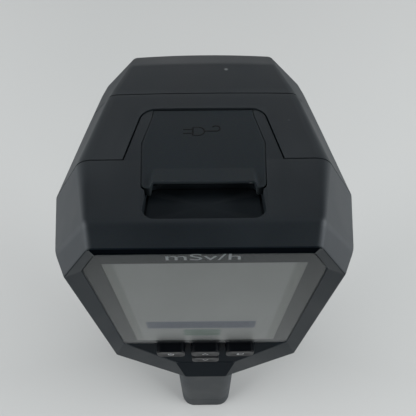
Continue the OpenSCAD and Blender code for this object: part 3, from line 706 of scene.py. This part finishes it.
def noseSpace(name, gap):
    # the space in front of the nose seam, whose edge runs straight down behind the top,
    # leans forward down the chamfer, then runs straight down again
    p = np.array([[46 + gap, 12], [46 + gap, 4.4], [52.6 + gap, -9.5], [52.6 + gap, -95],
                  [84, -95], [84, 12]])
    rings = [headPoint(x, p[:, 0], p[:, 1]) for x in (-50, 50)]
    verts = np.concatenate(rings)
    n = len(p)
    faces = [tuple(range(n)), tuple(range(2 * n - 1, n - 1, -1))]
    faces += [(i, (i + 1) % n, (i + 1) % n + n, i + n) for i in range(n)]
    return meshFrom(name, verts, faces, smooth=False)


def frontForm(name):
    # rings of the half outlines from the seam to the nose, each edge softened by its own amount
    n = head["noseD"]
    return headSolid(name, [
        (head["seamD"] + head["seam"], seamHalf, rear["seamR"], 0, 0),
        (head["midD"], midHalf, 3.4, 0, 5.0, crown["mid"]),
        (head["foreD"], foreHalf, 2.4, 0, 0.8, crown["fore"]),
        (n - 1.2, noseHalf, 2.2, 0, 0.5, crown["nose"]),
        (n, noseHalf, 1.4, -1.2, 0.5, crown["nose"]),
        (n, noseHalf, 0.4, -6, 0, crown["nose"]),
    ])


def makeMain():
    body = frontForm("mainShell")
    combine(body, [gripSolid("gripBlank", 0, grip["top"])], "UNION")
    w = head["wall"]
    room = headSolid("mainRoom", [
        (head["seamD"] - 1, seamHalf, 3.0, -w, 0),
        (head["noseD"] - 5, noseHalf, 1.0, -w, 0),
    ])
    rearClear = headSolid("rearClear", [
        (-8, rimHalf, rear["edgeR"], seams["rear"], 0),
        (head["creaseD"], creaseHalf, rear["edgeR"], seams["rear"], 0),
        (head["seamD"] + seams["rearFront"], seamHalf, rear["seamR"], seams["rear"], 0),
    ])
    g = grip["split"]
    cuts = [
        room, rearClear, noseSpace("noseGap", -seams["nose"]),
        tonguePrism("tongueGap", seams["tongue"], -7, 12, 0.0),
        gripSolid("gripRoom", grip["base"] - 8, grip["top"] + 12, -w),
        box("gripFront", gripPoint, -30, 30, g - grip["seam"], g + 40, -20, grip["frontCut"]),
        belowBase(),
    ]
    for i in range(sound["count"]):
        d = sound["d"] + sound["pitch"] * (i - sound["count"] // 2)
        slot = rectOutline(sound["width"], sound["tall"], d, sound["u"])
        cuts.append(pocket("soundSlot", slot, 0.69, sidePoint, 14, foot=0.05))
    combine(body, cuts)
    return finish(body, mouldedAbs, "instrument", "main_abs", "main_housing")


def makeNoseCap():
    body = frontForm("noseCap")
    w = head["wall"]
    inner = headSolid("capRoom", [
        (40, seamHalf, 2.0, -w - 2.6, 0),
        (head["noseD"] - 2.6, noseHalf, 1.0, -w - 0.6, 0),
    ])
    combine(body, [noseSpace("noseKeep", 0)], "INTERSECT")
    n = head["noseD"]
    cuts = [inner, discCut("windowHole", 0, head["windowU"], head["windowR"], n - 6, n + 2),
            discCut("ringSeat", 0, head["windowU"], head["ringR"] + 0.1, n - nose["ringDeep"], n,
                    flare=0.25, seg=96)]
    for x, u in capPlaces:
        cuts.append(discCut("screwSeat", x, u, nose["screwR"], n - nose["screwDeep"], n,
                            flare=0.3, seg=32))
    combine(body, cuts)
    return finish(body, mouldedAbs, "instrument", "cap_abs", "front_cap")


makeMain()
makeNoseCap()
print("main housing and nose cap made")


def makeGripCover():
    # the part of the grip in front of the split, hollowed to the wall's thickness
    body = gripSolid("gripCover", 0, grip["coverTop"])
    frontKeep = box("frontKeep", gripPoint, -30, 30, grip["split"], 60, -20, 200)
    combine(body, [frontKeep], "INTERSECT")
    tall = trigger["tall"] + trigger["slack"]
    mid = trigger["z"] - trigger["tall"] - trigger["below"] + tall / 2
    slot = rectOutline(trigger["slotWidth"], tall, 0, mid)
    cuts = [gripSolid("coverRoom", -5, 200, -head["wall"]),
            belowBase(),
            pocket("triggerSlot", slot, 1.2,
                   lambda x, z, out: gripPoint(x, trigger["face"] + np.asarray(out), z), 14,
                   flare=0.5, proud=6)]
    a = np.linspace(0, 2 * math.pi, 32, endpoint=False)
    for z in gripScrews["z"]:
        rings = [gripPoint(r * np.cos(a), y, z + r * np.sin(a)) for y, r in gripScrews["seat"]]
        cuts.append(loft("coverScrewSeat", rings))
    combine(body, cuts)
    return finish(body, gripAbs, "instrument", "grip_abs", "grip_cover")


makeGripCover()
print("grip made")


# port flap

def makeFlap():
    # two parameters, across (x) and along (s): a thin plate whose rear edge swells into a
    # finger lip, hollow underneath, with an ear at each end of the lip and a small rounded
    # knuckle at the front
    f = flap
    along = np.concatenate([[f["back"]], np.linspace(8.86, 9.9, 11), np.linspace(10.1, 15.9, 20),
                            np.linspace(16.4, 34.6, 26), np.linspace(34.8, f["front"], 12)])
    right = np.interp(along, [8.8, 24, 34.3, f["front"]], [13.9, 15, 13.05, 13.0])
    t = np.clip((along - f["back"]) / f["corner"], 0, 1)
    right = right - f["corner"] * (1 - np.sqrt(1 - (1 - t) ** 2))
    v = np.concatenate([np.linspace(0, 0.06, 6), np.linspace(0.08, 0.2, 16),
                        np.linspace(0.23, 0.77, 19), np.linspace(0.8, 0.92, 16),
                        np.linspace(0.94, 1, 6)])
    x = (2 * v - 1)[None, :] * right[:, None]
    # the lip's edge stands back from the ears; both blend by a smooth step across the lip's ends
    step = np.clip((np.abs(x) - f["lipHalf"]) / 0.7, 0, 1)
    step = step * step * (3 - 2 * step)
    edgeS = f["lipBack"] + (f["earBack"] - f["lipBack"]) * step
    end = f["bendEnd"]
    s = np.broadcast_to(along[:, None], x.shape)
    s = np.where(s < end, edgeS + (s - f["back"]) * (end - edgeS) / (end - f["back"]), s)
    # the top rises to the lip in a straight ramp; every outer edge is rolled over along a
    # quarter circle
    top = f["lip"] * np.clip((f["rampEnd"] - s) / (f["rampEnd"] - f["lipBack"]), 0, 1) * (1 - step)
    lipR, knuckleR = 0.22, 0.4
    edge = np.clip((np.abs(x) - (right[:, None] - f["edge"])) / f["edge"], 0, 1)
    back = np.clip((edgeS + lipR - s) / lipR, 0, 1)
    knuckle = np.clip((s - (f["front"] - knuckleR)) / knuckleR, 0, 1)
    for share, r in ((edge, f["edge"]), (back, lipR), (knuckle, knuckleR)):
        top = top - r * (1 - np.sqrt(np.clip(1 - share ** 2, 0, 1)))
    hollow = np.clip((13.8 - s) / 1.6, 0, 1) * (1 - step)
    floor = -f["thick"] + hollow * (f["thick"] + 0.25)
    turn = np.clip((s - (f["front"] - 0.5)) / 0.5, 0, 1)
    floor = np.where(s > 33.6, -2.2 + 0.5 * (1 - np.sqrt(np.clip(1 - turn ** 2, 0, 1))), floor)
    floor = np.minimum(floor, top - 0.12)
    up = topPoint(x, s, top)
    down = topPoint(x[:, ::-1], s[:, ::-1], floor[:, ::-1])
    ob = loft("portFlap", np.concatenate([up, down], 1), ladder=True)
    plugOutline = rectOutline(port["plugWidth"], port["plugHeight"], 0, port["s"])
    plug = pocket("plug", plugOutline, 1.0, topPoint, 4.5, mouth=-2, foot=0.3, proud=0.5)
    a = np.linspace(0, 2 * math.pi, 24, endpoint=False)
    q = f["pin"] + 0.06
    bore = loft("bore", [topPoint(x0, f["hinge"] + q * np.cos(a), -f["drop"] + q * np.sin(a))
                         for x0 in (-20, 20)])
    combine(ob, [plug], "UNION")
    combine(ob, [bore])
    return finish(ob, flapRubber, "port_flap_body", "flap_rubber", "port_flap", angle=42)


makeFlap()
print("port flap made")


def strip(points, width, closed=False):
    # a flat line of constant width: each point moves half the width to both sides of the path
    p = np.asarray(points, float)
    d = np.gradient(p, axis=0)
    if closed:
        d = np.roll(p, -1, 0) - np.roll(p, 1, 0)
    d /= np.linalg.norm(d, axis=1)[:, None]
    n = np.stack([-d[:, 1], d[:, 0]], 1) * width / 2
    return p + n, p - n


def lineMark(name, lines, width, at, point, out, mat, body):
    # thin inlaid lines: each path becomes a flat strip, given a hair of thickness
    verts, faces, base = [], [], 0
    for pts, closed in lines:
        a, b = strip(pts, width, closed)
        n = len(a)
        v = np.concatenate([a, b]) + at
        verts.append(point(v[:, 0], v[:, 1], out))
        i = np.arange(n if closed else n - 1)
        j = (i + 1) % n
        faces += (np.stack([i, j, j + n, i + n], 1) + base).tolist()
        base += 2 * n
    ob = meshFrom(name, np.concatenate(verts), faces)
    modify(ob, "SOLIDIFY", thickness=0.02 * mm, offset=0)
    applyAll(ob)
    dress(ob, mat)
    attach(ob, body)
    return ob


def arc(r, a0, a1, n=24, cx=0.0, cy=0.0):
    t = np.radians(np.linspace(a0, a1, n))
    return np.stack([cx + r * np.cos(t), cy + r * np.sin(t)], 1)


# a generic plug: two pins, a rounded body and a curling lead
plugMark = [
    (np.array([[-5.0, 0.75], [-2.6, 0.75]]), False),
    (np.array([[-5.0, -0.75], [-2.6, -0.75]]), False),
    (np.concatenate([[[-2.6, 1.5], [-1.2, 1.5]], arc(1.5, 90, -90, 13, -1.2, 0), [[-2.6, -1.5]]]),
     True),
    (np.concatenate([[[0.3, 0], [2.4, 0]], arc(1.0, -90, 150, 15, 3.2, 1.0)]), False),
]
lineMark("plugMark", plugMark, 0.42, [0, 28.3], topPoint, 0.012, flapMark, "port_flap_body")


# keys

def makeKey(name):
    # a rounded block whose front edge turns in along a quarter circle and whose face is gently
    # crowned
    x, u = keyCentre(name)
    w, h, p = keys["w"], keys["h"], keys["proud"]
    g0 = keys["brim"]
    steps = [(-3.8, 0.8, 1.8), (-3.15, 0.8, 1.8), (-3.1, 0.0, 1.8), (0.15, 0.0, 1.8),
             (0.3, g0, 1.8), (p - 0.5, g0, 1.8)]
    for a in np.linspace(0.2, math.pi / 2, 6):
        steps.append((p - 0.5 + 0.5 * math.sin(a), g0 - 0.45 * (1 - math.cos(a)), 1.8))
    for g, lift in ((-1.0, -0.03), (-2.2, -0.12), (-3.0, -0.15)):
        steps.append((p + lift, g, 1.8))
    rings = []
    for out, g, r in steps:
        o = roundedOutline(rectOutline(w, h, x, u), max(r + g, 0.35), g)
        rings.append(facePoint(o[:, 0], o[:, 1], out))
    ob = loft(name + "_cap", rings)
    return finish(ob, polishedKey, name + "_body", "key_gloss", name, angle=50)


for k in keyPlaces:
    makeKey(k)


icons = {
    "key_power": [(arc(0.95, 125, 415), False), ([[0, 0.2], [0, 1.25]], False)],
    "key_up": [([[-1.0, -0.5], [0, 0.65], [1.0, -0.5]], False)],
    "key_down": [([[-1.0, 0.5], [0, -0.65], [1.0, 0.5]], False)],
    "key_enter": [([[1.2, 0.8], [1.2, -0.3], [-1.0, -0.3]], False),
                  ([[-0.4, 0.4], [-1.1, -0.3], [-0.4, -1.0]], False)],
}


def makeIcon(name):
    lines = [(np.asarray(p, float), c) for p, c in icons[name]]
    lineMark(name + "_icon", lines, 0.34, keyCentre(name), facePoint, keys["proud"] + 0.012,
             iconInk,
             name + "_body")


for k in icons:
    makeIcon(k)
print("keys made")


# glass and screen

# the edge is a list of [depth, growth of the outline], from the face to the back
glass = {"corner": 1.4, "edge": [(0.0, -2.0), (0.0, -0.35), (0.03, -0.14), (0.12, -0.03),
                                 (0.25, 0.0), (0.4, 0.0), (0.42, -0.05)]}


def makeGlass():
    # the glass's outline carried back, its front edge ground round
    o = bothSides(glassHalf)
    rings = []
    for d, g in glass["edge"]:
        q = roundedOutline(o, max(glass["corner"] + g, 0.1), g)
        rings.append(headPoint(q[:, 0], d, q[:, 1]))
    ob = loft("coverGlass", rings)
    return finish(ob, coverGlassMat, "instrument", "cover_glass", "screen_glass", angle=50)


makeGlass()


# areas of the page as left, right, foot and top
page = {"half": 21.6, "bar": (-18.9, 16.3, -55.8, -48.9), "green": (-7.2, 5.2, -64.3, -57.2)}


def pageMaterial():
    # the lit page: plain grey, darker down both sides, with a blue bar and a faint green patch
    # near the foot
    m, t, b, pos = newMaterial("lit screen page")
    mp = addNode(t, "ShaderNodeMapping", Vector=pos,
                 Location=(0, -head["glassTop"] * mm * math.sin(rad(-5)), -head["glassTop"] * mm))
    xyz = addNode(t, "ShaderNodeSeparateXYZ", Vector=mp.outputs[0])
    noise = addNode(t, "ShaderNodeTexNoise", Vector=pos, Scale=perMm(18), Detail=3.0)
    x, z = xyz.outputs[0], xyz.outputs[2]

    def both(a, c):
        return addNode(t, "ShaderNodeMath", {"operation": "MULTIPLY"}, i0=a, i1=c).outputs[0]

    def band(value, lo, hi, soft):
        smooth = {"interpolation_type": "SMOOTHSTEP"}
        up = remap(t, value, (lo - soft) * mm, (lo + soft) * mm, 0.0, 1.0, smooth)
        down = remap(t, value, (hi - soft) * mm, (hi + soft) * mm, 1.0, 0.0, smooth)
        return both(up, down)

    def patch(area, softX, softZ):
        x0, x1, z0, z1 = area
        return both(band(x, x0, x1, softX), band(z, z0, z1, softZ))

    col = ramp(t, noise.outputs["Fac"], [(0.3, "#5e605f"), (0.7, "#646665")])
    col = layer(t, band(x, -page["half"], page["half"], 0.6), linear("#4f514f"), col)
    col = layer(t, patch(page["green"], 0.9, 0.9), col, linear("#31453c"))
    col = layer(t, patch(page["bar"], 0.4, 0.5), col, linear("#1a2338"))
    t.links.new(col, b.inputs["Base Color"])
    t.links.new(col, b.inputs["Emission Color"])
    b.inputs["Emission Strength"].default_value = 0.35
    b.inputs["Roughness"].default_value = 0.5
    return m


def flatPlate(name, outline, radius, d0, d1, mat, slot, *cadNodes):
    # a plate of the outline between two depths, its front edge drawn in by a hair
    rings = []
    for d, g in ((d0, -0.05), (d0 + 0.02, 0.0), (d1, 0.0)):
        q = roundedOutline(outline, radius, g)
        rings.append(headPoint(q[:, 0], d, q[:, 1]))
    ob = loft(name, rings)
    return finish(ob, mat, "instrument", slot, *cadNodes)


unitMark = {"width": 17.2, "height": 3.1, "x": -0.3, "u": -3.7}
screen = {"w": 48.6, "h": 64.4, "topU": -5.5}
pageOutline = rectOutline(screen["w"] + 1.2, screen["h"] + 1.2, 0, screen["topU"] - screen["h"] / 2)
flatPlate("litPage", pageOutline, 0.3, 0.56, 0.66, pageMaterial(), "lcd", "lcd_panel")


def makeBorder():
    # printed border: a thin plate of the glass's outline with the screen's window cut out
    rings = []
    for d in (0.46, 0.53):
        q = roundedOutline(bothSides(glassHalf), 1.3, -0.06)
        rings.append(headPoint(q[:, 0], d, q[:, 1]))
    ob = loft("printedBorder", rings)
    win = rectOutline(screen["w"], screen["h"], 0, screen["topU"] - screen["h"] / 2)
    combine(ob, [pocket("windowCut", win, 0.3, facePoint, 2, foot=0.02)])
    return finish(ob, inkBlack, "instrument", "gasket")


makeBorder()


def makeUnitMark():
    # a generic unit in plain letters on the printed border, laid out flat and then stood up
    # along the screen
    cu = bpy.data.curves.new("unitMark", "FONT")
    cu.body = "mSv/h"
    cu.align_x = "CENTER"
    tmp = bpy.data.objects.new("unitText", cu)
    bpy.context.scene.collection.objects.link(tmp)
    dg = bpy.context.evaluated_depsgraph_get()
    me = bpy.data.meshes.new_from_object(tmp.evaluated_get(dg))
    bpy.data.objects.remove(tmp)
    co = np.zeros(len(me.vertices) * 3)
    me.vertices.foreach_get("co", co)
    co = co.reshape(-1, 3)
    co[:, :2] *= np.array([unitMark["width"], unitMark["height"]]) / np.ptp(co[:, :2], axis=0)
    at = facePoint(co[:, 0] + unitMark["x"], co[:, 1] + unitMark["u"], -0.44)
    me.vertices.foreach_set("co", at.ravel())
    me.update()
    ob = bpy.data.objects.new("unitMark", me)
    bpy.context.scene.collection.objects.link(ob)
    dress(ob, plastic("grey unit print", "#7c8082", "#85898b", grain=0.3, rough=(0.4, 0.5),
                      bump=0.05))
    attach(ob, "instrument")


makeUnitMark()
print("glass and screen made")


roundedCopy("base_cap", "baseCap", mouldedAbs, "instrument", 0.35)
roundedCopy("trigger", "triggerBlade", gripAbs, "trigger_body", 0.5)
print("base cap and trigger made")


# materials of the carried-over nodes

nodeLooks = {
    "tripod_insert": turnedBrass, "lanyard_bar": groundSteel, "flap_pin": groundSteel,
    "grille": blackCoat, "window_ring": darkAnodised, "ring_screws": zincSteel,
    "tube_can": drawnSteel,
    "tube_window": micaSheet, "tube_pin": turnedBrass, "tube_holder": innerAbs,
    "tube_cushion": foamRubber,
    "main_board": solderMask, "board_chips": chipEpoxy, "board_screws": zincSteel,
    "high_voltage_board": solderMask, "high_voltage_transformer": windingTape,
    "high_voltage_capacitors": ceramicDip, "port_board": solderMask, "port_socket": drawnSteel,
    "port_flex": polyimide, "screen_flex": polyimide, "speaker": chipEpoxy,
    "speaker_cloth": clothMesh,
    "glass_gasket": foamRubber, "lcd_tray": pressedAlloy, "key_mat": matRubber,
    "key_board": solderMask,
    "key_domes": nickelPlate, "trigger_pin": groundSteel, "trigger_switch": chipEpoxy,
    "battery_cell": cellSleeve, "battery_tray": innerAbs, "contact_spring": nickelPlate,
    "contact_plate": nickelPlate, "battery_lead": leadPvc, "housing_screws": zincSteel,
    "cap_screws": zincSteel, "grip_screws": zincSteel, "base_screws": zincSteel,
}
for n, mat in nodeLooks.items():
    dress(nodes[n], mat)
print("carried-over nodes dressed:", len(nodeLooks))


# floor, light and camera

# metres and watts; each light is place, aim, size and power
stage = {"rings": (0.02, 1.2, 2.4), "tent": "#d5d8d9", "tentPower": 0.1}
lights = {
    "leftPanel": ((-0.9, -0.15, 0.38), (0, 0, 0.12), (0.9, 0.6), 11),
    "rightPanel": ((0.9, -0.15, 0.4), (0, 0, 0.12), (0.9, 0.6), 12.5),
    "backPanel": ((0, 1.2, 0.25), (0, 0, 0.1), (1.2, 0.4), 3.0),
    "topPanel": ((0, 0.5, 1.3), (0, 0.2, 0.1), (1.0, 1.0), 3.4),
}


def makeStage():
    # a flat disc of pale paper with slow, faint patches
    m, t, b, pos = newMaterial("pale paper sweep")
    soft = addNode(t, "ShaderNodeTexNoise", Vector=pos, Scale=3.0, Detail=2.0)
    t.links.new(ramp(t, soft.outputs["Fac"], [(0.3, "#c6c9c9"), (0.7, "#cacccc")]),
                b.inputs["Base Color"])
    b.inputs["Roughness"].default_value = 0.85
    a = np.linspace(0, 2 * math.pi, 96, endpoint=False)
    rings = [np.stack([r * np.cos(a), r * np.sin(a), np.zeros_like(a)], -1) for r in stage["rings"]]
    ob = loft("floor", rings, capEnd=False)
    if ob.data.polygons[0].normal.z < 0:
        ob.data.flip_normals()
    dress(ob, m)


def areaLight(name, place, aim, size, power):
    # the lamp's own axes: z runs from the aim to the lamp, x stays level
    li = bpy.data.lights.new(name, "AREA")
    li.shape = "RECTANGLE"
    li.size, li.size_y = size
    li.energy = power
    ob = bpy.data.objects.new(name, li)
    bpy.context.scene.collection.objects.link(ob)
    z = np.array(place, float) - np.array(aim, float)
    z /= np.linalg.norm(z)
    x = np.cross([0, 0, 1.0], z)
    x = x / np.linalg.norm(x) if np.linalg.norm(x) > 1e-6 else np.array([1.0, 0, 0])
    y = np.cross(z, x)
    ob.matrix_world = Matrix([(x[i], y[i], z[i], place[i]) for i in range(3)] + [(0, 0, 0, 1)])


makeStage()
for n, values in lights.items():
    areaLight(n, *values)
world = bpy.data.worlds.new("tent")
world.use_nodes = True
world.node_tree.nodes["Background"].inputs[0].default_value = linear(stage["tent"])
world.node_tree.nodes["Background"].inputs[1].default_value = stage["tentPower"]
bpy.context.scene.world = world

# focal length and shift are in the photo's pixels, the sensor in millimetres
camera = {"place": (0, -35.39, 286.15), "down": 62.70, "roll": -0.55, "focal": 436.7,
          "shift": 4.0, "pixels": 416, "sensor": 36}
cam = bpy.data.cameras.new("camera")
cam.sensor_width = camera["sensor"]
cam.lens = camera["sensor"] * camera["focal"] / camera["pixels"]
cam.shift_x = camera["shift"] / camera["pixels"]
cam.clip_start = 0.004
camOb = bpy.data.objects.new("camera", cam)
bpy.context.scene.collection.objects.link(camOb)
camOb.matrix_world = (Matrix.Translation(np.array(camera["place"]) * mm)
                      @ Matrix.Rotation(rad(90 - camera["down"]), 4, "X")
                      @ Matrix.Rotation(rad(camera["roll"]), 4, "Z"))
bpy.context.scene.camera = camOb
bpy.context.scene.view_settings.view_transform = "Standard"
print("stage, lights and camera made")
